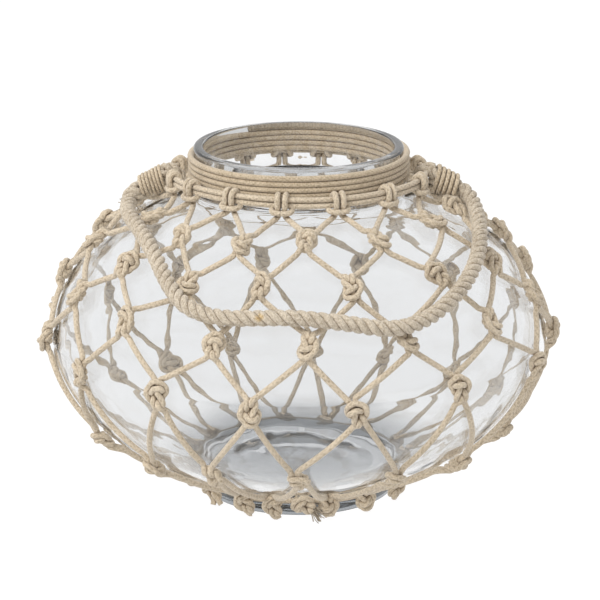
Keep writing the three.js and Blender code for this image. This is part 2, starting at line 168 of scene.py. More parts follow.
def bowl_profile():
    """The bowl's section: from the middle of the punt up over the rim, and down the inside."""
    bore = neck_radius - neck_wall
    turns = np.linspace(neck_turn - 0.05, foot_turn + 0.1, 90)
    outer = outside(turns)
    along = outside(turns + 1e-4) - outer
    along /= np.hypot(*along.T)[:, None]
    inner = outer + wall * np.stack([-along[:, 1], along[:, 0]], -1)
    # The wall's inside stops short of the bore and of the base, which have their own points.
    inner = inner[(inner[:, 0] > bore + 2 * mm) & (inner[:, 1] > base_thickness + 2.5 * mm)]
    foot_corner = (foot_radius - foot_rounding, foot_rounding)
    punt = np.linspace(0, 1, 12)[:-1]
    punt_line = np.stack([punt_radius * punt, punt_rise * np.cos(punt * math.pi / 2)], -1)
    rim_corner = rim_height - rim_rounding
    neck_line = np.linspace(shoulder_height + 2 * mm, rim_corner, 8)
    bore_line = np.linspace(rim_height - 2 * rim_rounding, neck_floor, 6)
    up_the_outside = np.concatenate([
        punt_line,
        [[punt_radius, 0]],
        rounded(foot_corner, foot_rounding, -90, 0),
        outside(np.linspace(foot_turn, neck_turn, 130)),
        np.stack([np.full(8, neck_radius), neck_line], -1),
        rounded((neck_radius - rim_rounding, rim_corner), rim_rounding, 10, 90),
        rounded((bore + rim_rounding, rim_corner), rim_rounding, 90, 170),
        np.stack([np.full(6, bore), bore_line], -1),
    ])
    down_the_inside = np.concatenate([
        inner,
        [[56 * mm, base_thickness + 0.4 * mm], [50 * mm, base_thickness]],
        [[25 * mm, base_thickness - 1 * mm], [0, base_thickness - 1.5 * mm]],
    ])
    return up_the_outside, down_the_inside


def make_mesh(name, points, faces, marks=None):
    """A smooth-shaded piece; marks gives each face corner's place round and along its cord."""
    mesh = bpy.data.meshes.new(name)
    mesh.from_pydata(np.asarray(points).tolist(), [], faces)
    mesh.polygons.foreach_set("use_smooth", [True] * len(mesh.polygons))
    if marks is not None:
        layer = mesh.uv_layers.new(name="lay")
        layer.uv.foreach_set("vector", np.asarray(marks, np.float32).ravel())
    mesh.update()
    piece = bpy.data.objects.new(name, mesh)
    bpy.context.collection.objects.link(piece)
    return piece


def turned_piece(name, profile, sides):
    """A piece turned on the lathe; the profile starts and ends on the axis."""
    angles = np.arange(sides) * 360 / sides
    rings = [around(angles, radius, height) for radius, height in profile[1:-1]]
    points = [[0, 0, profile[0][1]], *np.concatenate(rings).tolist(), [0, 0, profile[-1][1]]]
    last = len(points) - 1
    faces = []
    for side in range(sides):
        after = (side + 1) % sides
        faces.append((0, 1 + after, 1 + side))
        for ring in range(len(rings) - 1):
            low, high = 1 + ring * sides, 1 + (ring + 1) * sides
            faces.append((low + side, low + after, high + after, high + side))
        top = 1 + (len(rings) - 1) * sides
        faces.append((last, top + side, top + after))
    return make_mesh(name, points, faces)


class Tone:
    """A socket in a material's nodes, so that sums on it are written as plain expressions."""

    def __init__(self, tree, socket=None):
        self.tree = tree
        self.socket = socket

    def node(self, kind, settings=None, inputs=None, output=0):
        """Adds a node: its settings first, then what its sockets hold or are linked to."""
        made = self.tree.nodes.new(kind)
        for name, value in (settings or {}).items():
            if name == "stops":
                for stop, (place, shade) in zip(made.color_ramp.elements, value):
                    stop.position = place
                    stop.color = (shade, shade, shade, 1)
            else:
                setattr(made, name, value)
        for name, value in (inputs or {}).items():
            if isinstance(value, Tone):
                self.tree.links.new(value.socket, made.inputs[name])
            else:
                made.inputs[name].default_value = value
        return Tone(self.tree, made.outputs[output] if made.outputs else None)

    def math(self, operation, first, second=0.0):
        return self.node("ShaderNodeMath", {"operation": operation}, {0: first, 1: second})

    def __add__(self, other):
        return self.math("ADD", self, other)

    def __sub__(self, other):
        return self.math("SUBTRACT", self, other)

    def __rsub__(self, other):
        return self.math("SUBTRACT", other, self)

    def __mul__(self, other):
        return self.math("MULTIPLY", self, other)

    __radd__ = __add__
    __rmul__ = __mul__

    def over(self, other):
        """Whichever of the two is more."""
        return self.math("MAXIMUM", self, other)

    def within(self):
        """Held between 0 and 1, easing off as it nears 1."""
        return self.math("SMOOTH_MIN", self.over(0.0), 1.0)

    def wave(self):
        """A smooth wave from 0 to 1, one for each whole step."""
        return self.math("SINE", self * (2 * math.pi)) * 0.5 + 0.5

    def blend(self, low, high):
        """From one colour to another as this goes from 0 to 1."""
        return self.node("ShaderNodeMix", {"data_type": "RGBA"}, {0: self, 6: low, 7: high}, 2)

    def tinted(self, amount, colour):
        """This colour multiplied by another, by so much of it."""
        settings = {"data_type": "RGBA", "blend_type": "MULTIPLY", "clamp_factor": True}
        return self.node("ShaderNodeMix", settings, {0: amount, 6: self, 7: colour}, 2)

    def noise(self, scale, detail, where):
        """Soft random patches, so many to the metre."""
        inputs = {"Scale": scale, "Detail": detail, "Vector": where}
        return self.node("ShaderNodeTexNoise", {}, inputs)

    def bump(self, height, depth):
        return self.node("ShaderNodeBump", {}, {"Height": height, "Distance": depth})


def new_finish(name):
    """An empty material and the start of its nodes."""
    finish = bpy.data.materials.new(name)
    finish.use_nodes = True
    finish.node_tree.nodes.clear()
    return finish, Tone(finish.node_tree)


def show(nodes, shader):
    nodes.node("ShaderNodeOutputMaterial", {}, {"Surface": shader})


def clear_glass(name, tint, ripple, thick_glass_shade_tint=None):
    """Clear glass with the faint swirls and seeds of pressed and blown work.

    The last argument is its colour where the glass thickens towards the foot: the thick glass's
    own tint, darkened further by painted shade. Shadow rays and soft light go straight through,
    as they do through a thin wall."""
    finish, nodes = new_finish(name)
    place = nodes.node("ShaderNodeTexCoord", {}, {}, 3)
    swirls = nodes.noise(swirls_a_metre, 2, place)
    seeds = nodes.noise(seeds_a_metre, 1, place)
    if thick_glass_shade_tint is not None:
        # Painted shade on the thick glass's own tint: the colour darkens towards the foot, for
        # the shadow and inner reflections seen through the thick glass there.
        height = nodes.node("ShaderNodeSeparateXYZ", {}, {"Vector": place}, 2)
        depth = (darker_glass_below - height) * (1 / darker_glass_fade)
        tint = depth.within().blend(tint, thick_glass_shade_tint)
    glass = nodes.node("ShaderNodeBsdfPrincipled", {}, {
        "Base Color": tint,
        "Roughness": seeds * 0.02 + 0.002,
        "IOR": glass_ior,
        "Transmission Weight": 1.0,
        "Normal": nodes.bump(swirls, ripple),
    })
    clear = nodes.node("ShaderNodeBsdfTransparent", {}, {"Color": straight_light})
    shadow = nodes.node("ShaderNodeLightPath", {}, {}, 1)
    soft = nodes.node("ShaderNodeLightPath", {}, {}, 2)
    show(nodes, nodes.node("ShaderNodeMixShader", {}, {0: shadow.over(soft), 1: glass, 2: clear}))
    return finish


def make_bowl():
    up_the_outside, down_the_inside = bowl_profile()
    profile = np.concatenate([up_the_outside, down_the_inside])
    bowl = turned_piece("blown_bowl", profile, glass_sides)
    points = np.array([v.co for v in bowl.data.vertices])
    angles = np.arctan2(points[:, 0], -points[:, 1])
    radius = np.hypot(points[:, 0], points[:, 1])
    # Only the blown wall's inside is wavy: the bore, the rim and the outside are true.
    inside = np.zeros(len(points), bool)
    inside[1 + (len(up_the_outside) - 1) * glass_sides:-1] = True
    wave = np.sin(3 * angles + 40 * points[:, 2]) + 0.6 * np.sin(7 * angles - 65 * points[:, 2])
    wave += 0.4 * np.sin(12 * angles + 110 * points[:, 2])
    shift = np.where(inside & (radius > neck_radius), wall_waviness * wave / 2, 0)
    points[:, :2] *= (1 - shift / np.maximum(radius, 1 * mm))[:, None]
    bowl.data.vertices.foreach_set("co", points.ravel())
    for made in (
        clear_glass("clear_glass", wall_tint, blown_ripple, thick_glass_and_shade_tint),
        clear_glass("cast_glass", base_glass_and_shade_tint, cast_ripple),
        clear_glass("foot_glass", foot_glass_and_shade_tint, cast_ripple),
        clear_glass("rim_glass", rim_tint, ground_ripple),
    ):
        bowl.data.materials.append(made)
    # The base and the foot's side take the darker glass: their own thick-glass tint, darkened
    # further by painted shade.
    base, foot, rim = 1, 2, 3
    for face in bowl.data.polygons:
        height = face.center.z
        reach = math.hypot(face.center.x, face.center.y)
        if height > rim_height - ground_depth:
            face.material_index = rim
        elif height < base_glass and reach < foot_radius + 1 * mm:
            face.material_index = foot if reach > foot_radius - foot_side else base
    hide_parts("glass_bowl")
    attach(bowl, "vessel")


make_bowl()


# ------------------------------------------------------------------ the cord round the neck
# One cotton cord wound close round the neck in nearly five turns, from just under the rim down
# towards the shoulder. It gives the collar, which is tied over it, something to grip.

wrap_cord = 3.4 * mm
wrap_pitch = 3.7 * mm
wrap_strand = 3.8 * mm
wrap_below_rim = 3.6 * mm
wrap_above_shoulder = 6.8 * mm
wrap_start = 210
wrap_radius = neck_radius + wrap_cord / 2 + 0.3 * mm
wrap_turns = (neck_height - wrap_below_rim - wrap_cord / 2 - wrap_above_shoulder) / wrap_pitch
wrap_step = 2.6 * mm
wrap_wander_out = 0.10 * mm
wrap_wander_up = 0.12 * mm
wrap_light = (0.59, 0.485, 0.35)
wrap_dark = (0.27, 0.205, 0.125)
cord_sides = 10
fibres_a_metre = 1300
flecks_a_metre = 650
patches_a_metre = 40
# How far the painted shade in the cotton's creases reaches, and its colour.
painted_crease_shade_reach = 2.5 * mm
painted_crease_shade_tint = (0.42, 0.31, 0.19, 1)
rust_tint = (0.80, 0.62, 0.42, 1)
stain_reach = 4.6 * mm
stain_tint = (0.90, 0.66, 0.22, 1)


def through(points, step):
    """A smooth line through points, as evenly spaced points about a step apart."""
    points = np.asarray(points, float)
    ends = 2 * points[[0, -1]] - points[[1, -2]]
    held = np.concatenate([ends[:1], points, ends[1:]])
    gaps = np.linalg.norm(np.diff(held, axis=0), axis=1) ** 0.5
    knots = np.concatenate([[0], np.cumsum(np.maximum(gaps, 1e-6))])
    fine = []
    for i in range(1, len(held) - 2):
        share = np.linspace(knots[i], knots[i + 1], 9)[:-1, None]
        a, b, c, d = held[i - 1:i + 3]
        ta, tb, tc, td = knots[i - 1:i + 3]
        ab = a + (b - a) * (share - ta) / (tb - ta)
        bc = b + (c - b) * (share - tb) / (tc - tb)
        cd = c + (d - c) * (share - tc) / (td - tc)
        abc = ab + (bc - ab) * (share - ta) / (tc - ta)
        bcd = bc + (cd - bc) * (share - tb) / (td - tb)
        fine.append(abc + (bcd - abc) * (share - tb) / (tc - tb))
    fine = np.concatenate([*fine, points[-1:]])
    travel = np.concatenate([[0], np.cumsum(np.linalg.norm(np.diff(fine, axis=0), axis=1))])
    count = max(2, round(travel[-1] / step) + 1)
    even = np.linspace(0, travel[-1], count)
    return np.stack([np.interp(even, travel, fine[:, axis]) for axis in range(3)], -1)


def frames(line, closed=False):
    """Two directions square to the line at each of its points, carried along without twist."""
    ahead = np.roll(line, -1, 0) - np.roll(line, 1, 0)
    if not closed:
        ahead[0] = line[1] - line[0]
        ahead[-1] = line[-1] - line[-2]
    ahead /= np.linalg.norm(ahead, axis=1)[:, None]
    side = np.cross(ahead[0], [0.3, 0.1, 1])
    sides = []
    for along in ahead:
        side = side - along * np.dot(side, along)
        side = side / np.linalg.norm(side)
        sides.append(side)
    sides = np.array(sides)
    return ahead, sides, np.cross(ahead, sides)


class Strands:
    """Lengths of round cord gathered into one mesh."""

    def __init__(self):
        self.points = []
        self.faces = []
        self.marks = []
        self.count = 0

    def lay(self, line, diameter, sides=cord_sides, closed=False):
        """Adds a cord along a line; diameter may differ from point to point."""
        n = len(line)
        _, across, up = frames(line, closed)
        radius = np.broadcast_to(np.asarray(diameter) / 2, n)[:, None, None]
        turns = np.arange(sides) * 2 * math.pi / sides
        ring = across[:, None] * np.cos(turns)[:, None] + up[:, None] * np.sin(turns)[:, None]
        self.points.append((line[:, None] + radius * ring).reshape(-1, 3))
        steps = np.linalg.norm(np.diff(line, axis=0), axis=1)
        typical = float(np.median(radius)) * 2
        travel = np.concatenate([[0], np.cumsum(steps)]) / typical
        last = n if closed else n - 1
        for i in range(last):
            here = self.count + i * sides
            there = self.count + (i + 1) % n * sides
            v, v_next = travel[i], travel[i + 1] if i + 1 < n else travel[i] + 1
            for j in range(sides):
                k = (j + 1) % sides
                self.faces.append((here + j, here + k, there + k, there + j))
                u, u_next = j / sides, (j + 1) / sides
                self.marks += [(u, v), (u_next, v), (u_next, v_next), (u, v_next)]
        if not closed:
            for first, flip in ((self.count, True), (self.count + (n - 1) * sides, False)):
                cap = [first + j for j in range(sides)]
                self.faces.append(tuple(cap[::-1] if flip else cap))
                self.marks += [(0.5, travel[0 if flip else -1])] * sides
        self.count += n * sides
        return self

    def made(self, name):
        return make_mesh(name, np.concatenate(self.points), self.faces, self.marks)


def drift(seed, count, size, waves):
    """A slow random wander, for hand work that is never quite even."""
    random = np.random.default_rng(seed)
    along = np.linspace(0, 1, count)[:, None]
    pace = random.uniform(1, waves, waves)
    phase = random.uniform(0, 2 * math.pi, waves)
    return size * np.sin(2 * math.pi * pace * along + phase).sum(1) / math.sqrt(waves)


def cotton(name, light, dark, plaits, lean, twisted=False, relief=0.5, fuzz=1.0, stain=None):
    """Unbleached cotton: plaited or twisted yarns, loose fibres and uneven natural colour, with
    painted shade in the grooves between the yarns and in the creases of the piece.

    plaits is how many yarns show round the cord and lean how far they run on for each turn.
    relief is how deep they lie and how strong their painted groove shade is, fuzz how rough
    the fibres are, and stain the middle of a rust spot."""
    finish, nodes = new_finish(name)
    lay = nodes.node("ShaderNodeUVMap", {"uv_map": "lay"})
    place = nodes.node("ShaderNodeTexCoord", {}, {}, 3)
    round_it = nodes.node("ShaderNodeSeparateXYZ", {}, {"Vector": lay}, 0)
    along = nodes.node("ShaderNodeSeparateXYZ", {}, {"Vector": lay}, 1)
    yarns = (round_it * plaits + along * lean).wave()
    if not twisted:
        yarns = yarns.over((round_it * plaits - along * lean).wave())
    fibres = nodes.noise(fibres_a_metre, 3, place)
    flecks = nodes.noise(flecks_a_metre, 2, place)
    patches = nodes.noise(patches_a_metre, 2, place)
    # The yarns darken the colour in the grooves between them, which is painted shade; the fibres,
    # flecks and patches are the cotton's own uneven tone.
    shade = yarns * (0.5 * relief) + fibres * 1.3 + flecks * 1.15 + patches * 0.5 - 1.1
    tint = shade.within().blend((*dark, 1), (*light, 1))
    # Painted shade: ambient occlusion within the piece darkens the colour in the creases between
    # its yarns, strands and knots, where shade falls.
    this_piece_only = {"samples": 8, "only_local": True}
    near = {"Distance": painted_crease_shade_reach}
    openness = nodes.node("ShaderNodeAmbientOcclusion", this_piece_only, near, 1)
    painted_crease_shade = (1.0 - openness) * 1.25 - 0.28
    colour = tint.tinted(painted_crease_shade.over(0.0), painted_crease_shade_tint)
    rust = nodes.node("ShaderNodeValToRGB", {"stops": [(0.66, 0), (0.74, 1)]}, {"Fac": flecks})
    colour = colour.tinted(rust * 0.5, rust_tint)
    if stain is not None:
        distance = {"operation": "DISTANCE"}
        away = nodes.node("ShaderNodeVectorMath", distance, {0: place, 1: stain}, 1)
        spot = 1.0 - (away + flecks * 2 * mm) * (1 / stain_reach)
        colour = colour.tinted((spot * 1.6).over(0.0), stain_tint)
    height = yarns * relief + fibres * 0.5 * fuzz
    shader = nodes.node("ShaderNodeBsdfPrincipled", {}, {
        "Base Color": colour,
        "Roughness": fibres * 0.15 + 0.82,
        "Specular IOR Level": 0.25,
        "Sheen Weight": 0.25,
        "Sheen Roughness": 0.6,
        "Normal": nodes.bump(height, 0.5 * mm),
    })
    show(nodes, shader)
    return finish


def finished(piece, finish, body, slot, *nodes):
    """Gives a piece its finish, the body it moves with and the frame's nodes it stands for."""
    piece.data.materials.append(finish)
    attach(piece, body)
    for node in nodes:
        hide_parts(node)


def make_wrap():
    count = round(wrap_turns * 2 * math.pi * wrap_radius / wrap_step)
    turns = np.linspace(0, wrap_turns, count)
    radius = wrap_radius + drift(3, count, wrap_wander_out, 40)
    height = rim_height - wrap_below_rim - wrap_pitch * turns
    height += drift(4, count, wrap_wander_up, 24)
    line = around(wrap_start - 360 * turns, radius, height)
    wrap = Strands().lay(line, wrap_strand).made("wound_neck_cord")
    wrap_cotton = cotton("wrap_cotton", wrap_light, wrap_dark, 5, 1.3)
    finished(wrap, wrap_cotton, "vessel", "wrap_cotton", "neck_wrap")


make_wrap()


# ------------------------------------------------------------------ the collar
# Two strands of the net's cord tied round the neck over the wrap. The net hangs on them, and
# the handle's eyes draw them out at both sides.

net_cord = 3.5 * mm
collar_above_shoulder = 9.7 * mm
collar_height = shoulder_height + collar_above_shoulder
collar_slack = 1.6 * mm
collar_radius = wrap_radius + wrap_cord / 2 + net_cord / 2 + collar_slack
collar_spacing = 3.8 * mm
collar_pull = 7.4 * mm
collar_wander = 0.25 * mm
collar_points = 190
net_light = (0.66, 0.56, 0.425)
net_dark = (0.29, 0.225, 0.145)

net_cotton = cotton("net_cotton", net_light, net_dark, 4, 0.85, relief=0.6)


def drawn_out(radius, angle):
    """A collar strand's radius at an angle: its own, and more at the sides."""
    return radius + collar_pull * np.abs(np.sin(np.radians(angle))) ** 6


def make_collar():
    angles = np.arange(collar_points) * 360 / collar_points
    for name, lift, seed in (("upper", 0.5, 11), ("lower", -0.5, 12)):
        wander = np.sin(np.radians(angles) * 3 + seed) * collar_wander
        radius = drawn_out(collar_radius, angles) + wander
        height = collar_height + lift * collar_spacing + np.roll(wander, 20)
        strand = Strands().lay(around(angles, radius, height), net_cord, closed=True)
        finished(
            strand.made(f"collar_strand_{name}"), net_cotton, "vessel", "net_cotton",
            f"collar_cord_{name}",
        )


make_collar()


# ------------------------------------------------------------------ the net
# Fifteen cotton cords, each folded in half over the collar in a lark's head. Every half is tied
# to its neighbour in two-strand overhand knots, five rows of them, and ends on the hem cord.

# Where the cords hang on the collar, in degrees from the front. Then for each row of knots, how
# far up the shoulder or down the belly it is, each knot's angle, and how many millimetres each
# sits above its row.
collar_angles = [-78, -60, -34, -8, 19, 47, 73, 105, 126, 147, 168, 189, 210, 231, 255]
net_rows = [
    (0.814, [-66, -43, -19, 3, 28, 57, 80, 110, 132, 155, 178, 201, 223, 246, 264],
     [1, -1, -1, 2, 0, 2, 2, 1, -1, 0, 1, 0, -1, 1, -1]),
    (0.618, [-82, -54, -30, -10, 14, 40, 64, 91, 116, 141, 165, 189, 212, 235, 257],
     [0, 1, -1, 2, 0, 1, -2, 1, 0, -2, 1, 0, 1, -1, 0]),
    (0.353, [-67, -44, -19, 2, 25, 50, 75, 103, 128, 153, 177, 200, 223, 246, 269],
     [3, 2, -2, -1, -1, -3, -3, 0, 2, 1, -2, 0, 2, -1, 1]),
    (0.01, [-79, -55, -31, -10, 12, 36, 65, 88, 114, 140, 165, 189, 212, 235, 258],
     [2, 0, 2, -3, -3, 3, -3, -1, 2, 0, -2, 2, 1, -2, 0]),
    (-0.547, [-64, -42, -22, 0, 26, 51, 74, 100, 127, 152, 176, 200, 223, 247, 270],
     [3, -2, 3, 5, -1, -6, 0, 2, -2, 1, 0, 3, -2, 1, 0]),
]
hem_angles = [-75, -52, -29, -13, 15, 36, 62, 88, 113, 140, 164, 188, 211, 236, 260]
cords = len(collar_angles)
net_strand = 3.75 * mm
net_step = 1.25 * mm
run_step = 4 * mm
lying = net_cord / 2 + 0.35 * mm
knot_lift = 0.3 * mm
hem_radius = 70.6 * mm
hem_height = 12.2 * mm
lump_in = 1.2 * mm
lump_drop = 2.2 * mm

# In cord diameters: how finely a knot is drawn, how far its middle lies off the glass, how near
# its strands may come to each other and to the glass, and how far out from its middle it is
# kept. Then how much flatter and taller than drawn it ends up on the bowl, how many rounds it
# settles for after the last pull, and how far a round may push a point.
knot_step = 0.33
knot_middle = 1.3
knot_closeness = 0.88
knot_floor = 0.52
knot_reach = 2.15
knot_flatness = 0.86
knot_tallness = 1.08
settling_rounds = 12
largest_push = 0.12

# The two strands of an overhand knot before it is drawn tight, in cord diameters: across,
# up the net, and out from the knot's middle.
slack_left = [
    (-2.6, 4.0, -0.9), (-1.2, 2.4, -0.5), (-0.4, 1.1, 0.0), (-0.3, -0.2, 0.0),
    (-0.5, -1.0, -0.4), (-1.1, -1.0, -0.5), (-1.5, -0.2, 0.1), (-1.1, 0.5, 0.9),
    (-0.2, 0.8, 1.15), (0.8, 0.8, 0.9), (1.5, 0.5, 0.1), (1.1, 0.1, -0.85), (0.2, 0.0, -1.0),
    (-0.7, -0.2, -0.6), (-0.85, -0.8, 0.5), (-1.1, -1.8, 0.6), (-1.5, -2.8, -0.3),
    (-2.6, -4.0, -0.9),
]
slack_right = [
    (2.6, 4.0, -0.9), (1.5, 2.6, -0.5), (0.7, 1.3, 0.0), (0.7, -0.6, 0.0),
    (0.4, -1.7, -0.5), (-0.8, -2.1, -0.7), (-2.1, -1.3, -0.3), (-2.3, 0.0, 0.3),
    (-1.6, 1.3, 0.9), (-0.2, 1.85, 1.1), (1.1, 1.7, 0.9), (2.1, 1.0, 0.1), (1.9, 0.0, -0.8),
    (0.9, -0.8, -1.0), (-0.1, -0.95, -0.9), (-0.35, -0.9, 0.3), (0.1, -1.8, 0.9),
    (1.2, -2.8, 0.1), (2.6, -4.0, -0.9),
]


def drawn_tight(strands, rounds, pull, narrow, floor):
    """Draws strands tight: each shortens, and none passes through itself, another or the glass.

    All in cord diameters; the ends of each strand stay where they are."""
    lines = [through(strand, knot_step) for strand in strands]
    sizes = [len(line) for line in lines]
    starts = np.concatenate([[0], np.cumsum(sizes)])
    points = np.concatenate(lines)
    owner = np.repeat(np.arange(len(lines)), sizes)
    order = np.arange(len(points))
    near = (owner[:, None] == owner) & (np.abs(order[:, None] - order) < 4)
    held = np.zeros(len(points), bool)
    for start, end in zip(starts[:-1], starts[1:]):
        held[start:start + 2] = True
        held[end - 2:end] = True
    inner = np.flatnonzero(~held)
    for step in range(rounds + settling_rounds):
        if step < rounds:
            middle = (points[inner - 1] + points[inner + 1]) / 2
            points[inner] += pull * (middle - points[inner])
            points[inner, 0] *= narrow
        for _ in range(4):
            apart = points[:, None] - points
            distance = np.linalg.norm(apart, axis=2) + 1e-6
            short = knot_closeness / distance - 1
            short = np.where(near | (short < 0), 0, short * 0.25)
            push = (apart * short[:, :, None]).sum(1)
            points[inner] += push[inner].clip(-largest_push, largest_push)
            points[inner, 2] = np.maximum(points[inner, 2], floor)
    return [points[start:end] for start, end in zip(starts[:-1], starts[1:])]


tight_knots = [
    drawn_tight([slack_left, slack_right], rounds, pull, narrow, knot_floor - knot_middle)
    for rounds, pull, narrow in ((50, 0.35, 0.985), (70, 0.40, 0.98), (34, 0.35, 0.98))
]

# Half of a lark's head, from the middle of the bar in front, round its end, up behind both
# collar strands, over them and down the front, then out behind the bar, in cord diameters:
# along the collar, up, and out from it.
lark_half = [
    (0, -1.62, 1.38), (0.8, -1.62, 1.33), (1.5, -1.55, 0.95), (1.85, -1.35, 0.2),
    (1.5, -0.8, -0.75), (1.05, 0.2, -0.9), (0.8, 1.05, -0.7), (0.72, 1.55, 0.05),
    (0.7, 1.05, 0.85), (0.66, 0, 1.08), (0.62, -0.9, 0.9), (0.6, -1.8, 0.3), (0.7, -2.5, 0.15),
]


def knot_place(row, index):
    """Where a knot of the net is on the glass, and how it happened to be tied."""
    share, angles, lifts = net_rows[row]
    index %= cords
    height = widest_height + share * (shoulder_rise if share > 0 else belly_drop)
    random = np.random.default_rng(100 * row + index)
    return {
        "angle": angles[index],
        "travel": float(travel_to(height + lifts[index] * mm)),
        "size": random.uniform(0.92, 1.04),
        "lean": random.uniform(-0.45, 0.45),
        "mirrored": random.random() < 0.5,
        "upside_down": random.random() < 0.35,
        "form": int(random.integers(len(tight_knots))),
    }


def strand_in(knot, from_left):
    """One strand of a tied knot, from top to bottom, as offsets across, up and off the glass."""
    mirrored = knot["mirrored"]
    flipped = knot["upside_down"]
    left = from_left != mirrored
    line = tight_knots[knot["form"]][0 if left else 1]
    inside = np.flatnonzero(np.hypot(line[:, 0], line[:, 1]) < knot_reach)
    line = line[inside[0]:inside[-1] + 1].copy()
    if mirrored:
        line[:, 0] *= -1
    if flipped:
        line[:, 1] *= -1
        line = line[::-1]
    size = knot["size"]
    lean = knot["lean"]
    x = line[:, 0] * np.cos(lean) - line[:, 1] * np.sin(lean)
    y = line[:, 0] * np.sin(lean) + line[:, 1] * np.cos(lean)
    standoff = (line[:, 2] + knot_middle) * knot_flatness
    return np.stack([x * size, y * size * knot_tallness, standoff], -1) * net_cord


def knotted(knot, from_left):
    """The same strand on the glass, as angle, travel and standoff."""
    line = strand_in(knot, from_left)
    radius = np.interp(knot["travel"], skin_travel, skin[:, 0])
    angle = knot["angle"] + np.degrees(line[:, 0] / radius)
    return np.stack([angle, knot["travel"] + line[:, 1], line[:, 2] + knot_lift], -1)


def nearest(angle, other):
    """An angle with whole turns added, so that it is as near as can be to another."""
    return angle + 360 * np.round((other - angle) / 360)


def joined_on_glass(pieces):
    """Strands on the glass joined by runs that lie on it, as angle, travel and standoff."""
    turned = [pieces[0]]
    for piece in pieces[1:]:
        piece = piece.copy()
        piece[:, 0] += nearest(piece[0, 0], turned[-1][-1, 0]) - piece[0, 0]
        turned.append(piece)
    whole = [turned[0]]
    for before, after in zip(turned[:-1], turned[1:]):
        run = on_glass(*before[-1]) - on_glass(*after[0])
        steps = max(2, round(float(np.linalg.norm(run)) / run_step))
        share = np.linspace(0, 1, steps + 1)[1:-1, None]
        between = before[-1] + (after[0] - before[-1]) * share
        between[:, 2] = lying
        whole += [between, after]
    return np.concatenate(whole)


def on_collar(index, side):
    """Half a lark's head in its place on the collar, from the bar's middle to the leg."""
    angle = collar_angles[index]
    middle = around(angle, drawn_out(collar_radius, angle), collar_height)
    tangent = around(angle + 90, 1.0, 0)
    out = around(angle, 1.0, 0)
    line = np.array(lark_half) * net_cord
    across = line[:, :1] * side
    return middle + across * tangent + line[:, 1:2] * [0, 0, 1] + line[:, 2:] * out


def pulled_over(start, end, shares):
    """A strand pulled straight from one point to another, but lying on the glass between."""
    share = np.asarray(shares)[:, None]
    straight = start + (end - start) * share
    radius = np.hypot(straight[:, 0], straight[:, 1])
    off_skin = np.hypot(radius[:, None] - skin[:, 0], straight[:, 2:] - skin[:, 1])
    travel = skin_travel[off_skin.argmin(1)]
    angle = np.degrees(np.arctan2(straight[:, 0], -straight[:, 1]))
    return on_glass(angle, travel, lying)


def half_cord(index, side):
    """One half of a net cord from its first knot to its last: side 1 right, -1 left."""
    right = side > 0
    before = index if right else index - 1
    rows = range(len(net_rows))
    knots = [knot_place(row, before if row % 2 == 0 else index) for row in rows]
    from_left = [right if row % 2 == 0 else not right for row in rows]
    return joined_on_glass([knotted(knot, left) for knot, left in zip(knots, from_left)])


def make_net():
    for index in range(cords):
        cord = Strands()
        for side in (1, -1):
            lark = on_collar(index, side)
            line = half_cord(index, side)
            line[:, 0] += nearest(line[0, 0], collar_angles[index]) - line[0, 0]
            body = on_glass(line[:, 0], line[:, 1], line[:, 2])
            drop = pulled_over(lark[-1], body[0], (0.4, 0.6, 0.8))
            ends = hem_run(index, side, line)
            whole = through(np.concatenate([lark, drop, body, ends]), net_step)
            cord.lay(whole, net_strand)
        name = f"{index + 1:02d}"
        finished(
            cord.made(f"tied_cord_{name}"), net_cotton, "vessel", "net_cotton",
            f"net_cord_{name}",
        )


def hem_knot(index):
    """How the two ends of a cord happened to be knotted at the hem, and their short tails."""
    random = np.random.default_rng(900 + index)
    return {
        "size": random.uniform(0.86, 0.98),
        "lean": random.uniform(-0.9, 0.9),
        "mirrored": random.random() < 0.5,
        "upside_down": random.random() < 0.5,
        "form": int(random.integers(len(tight_knots))),
        "tail": random.uniform(2.5, 6.5, 2) * mm,
        "spread": random.uniform(-0.7, 0.7, 2),
    }


def hem_run(index, side, line):
    """From the last row round under the belly, through a knot on the hem, to a short tail."""
    knot = hem_knot(index % cords)
    angle, travel, _ = line[-1]
    lump = nearest(hem_angles[index % cords], angle)
    strand = strand_in(knot, side < 0)
    offset = np.degrees(strand[:, 0] / hem_radius)
    tied = around(
        lump + offset,
        hem_radius - lump_in + strand[:, 2],
        hem_height - lump_drop + strand[:, 1],
    )
    start = on_glass(angle, travel, lying)
    run = pulled_over(start, tied[0], np.linspace(0.15, 0.85, 7))
    down = tied[-1] - tied[-4]
    down /= np.linalg.norm(down)
    chosen = int(side > 0)
    aside = around(lump + 90, knot["spread"][chosen], 0)
    tail = tied[-1] + knot["tail"][chosen] * np.array([0.5, 1])[:, None] * (down + aside * 0.6)
    tail[:, 2] = np.maximum(tail[:, 2], net_strand / 2)
    return np.concatenate([run, tied, tail])


make_net()


# ------------------------------------------------------------------ the hem
# One more strand of the net's cord, tied round the foot under the belly, that the net's ends
# are hitched to. Its own two ends are knotted together in front, and have frayed.

hem_join = 2
hem_wander = 0.3 * mm
join_in = 0.6 * mm
join_drop = 1.4 * mm
hem_points = 170
hem_join_knot = 77
yarn_spread = 0.42
yarn_curl = 1.1 * mm
shortest_fray = 4
longest_fray = 9
thinnest_yarn = 0.5 * mm
thickest_yarn = 0.85 * mm


def frayed(strands, start, ahead, seed, count=16, width=0.9 * mm):
    """The opened yarns at a cut end, spreading as they leave the cord."""
    random = np.random.default_rng(seed)
    for _ in range(count):
        root = start + random.normal(0, width * 0.6, 3)
        way = ahead + random.normal(0, yarn_spread, 3)
        way /= np.linalg.norm(way)
        curl = random.normal(0, yarn_curl, 3)
        reach = random.uniform(shortest_fray, longest_fray) * mm
        share = np.array([-0.15, 0.35, 0.7, 1])[:, None]
        line = root + way * reach * share + curl * share ** 2
        line[:, 2] = np.maximum(line[:, 2], 0.4 * mm)
        strands.lay(through(line, 1 * mm), random.uniform(thinnest_yarn, thickest_yarn), 5)


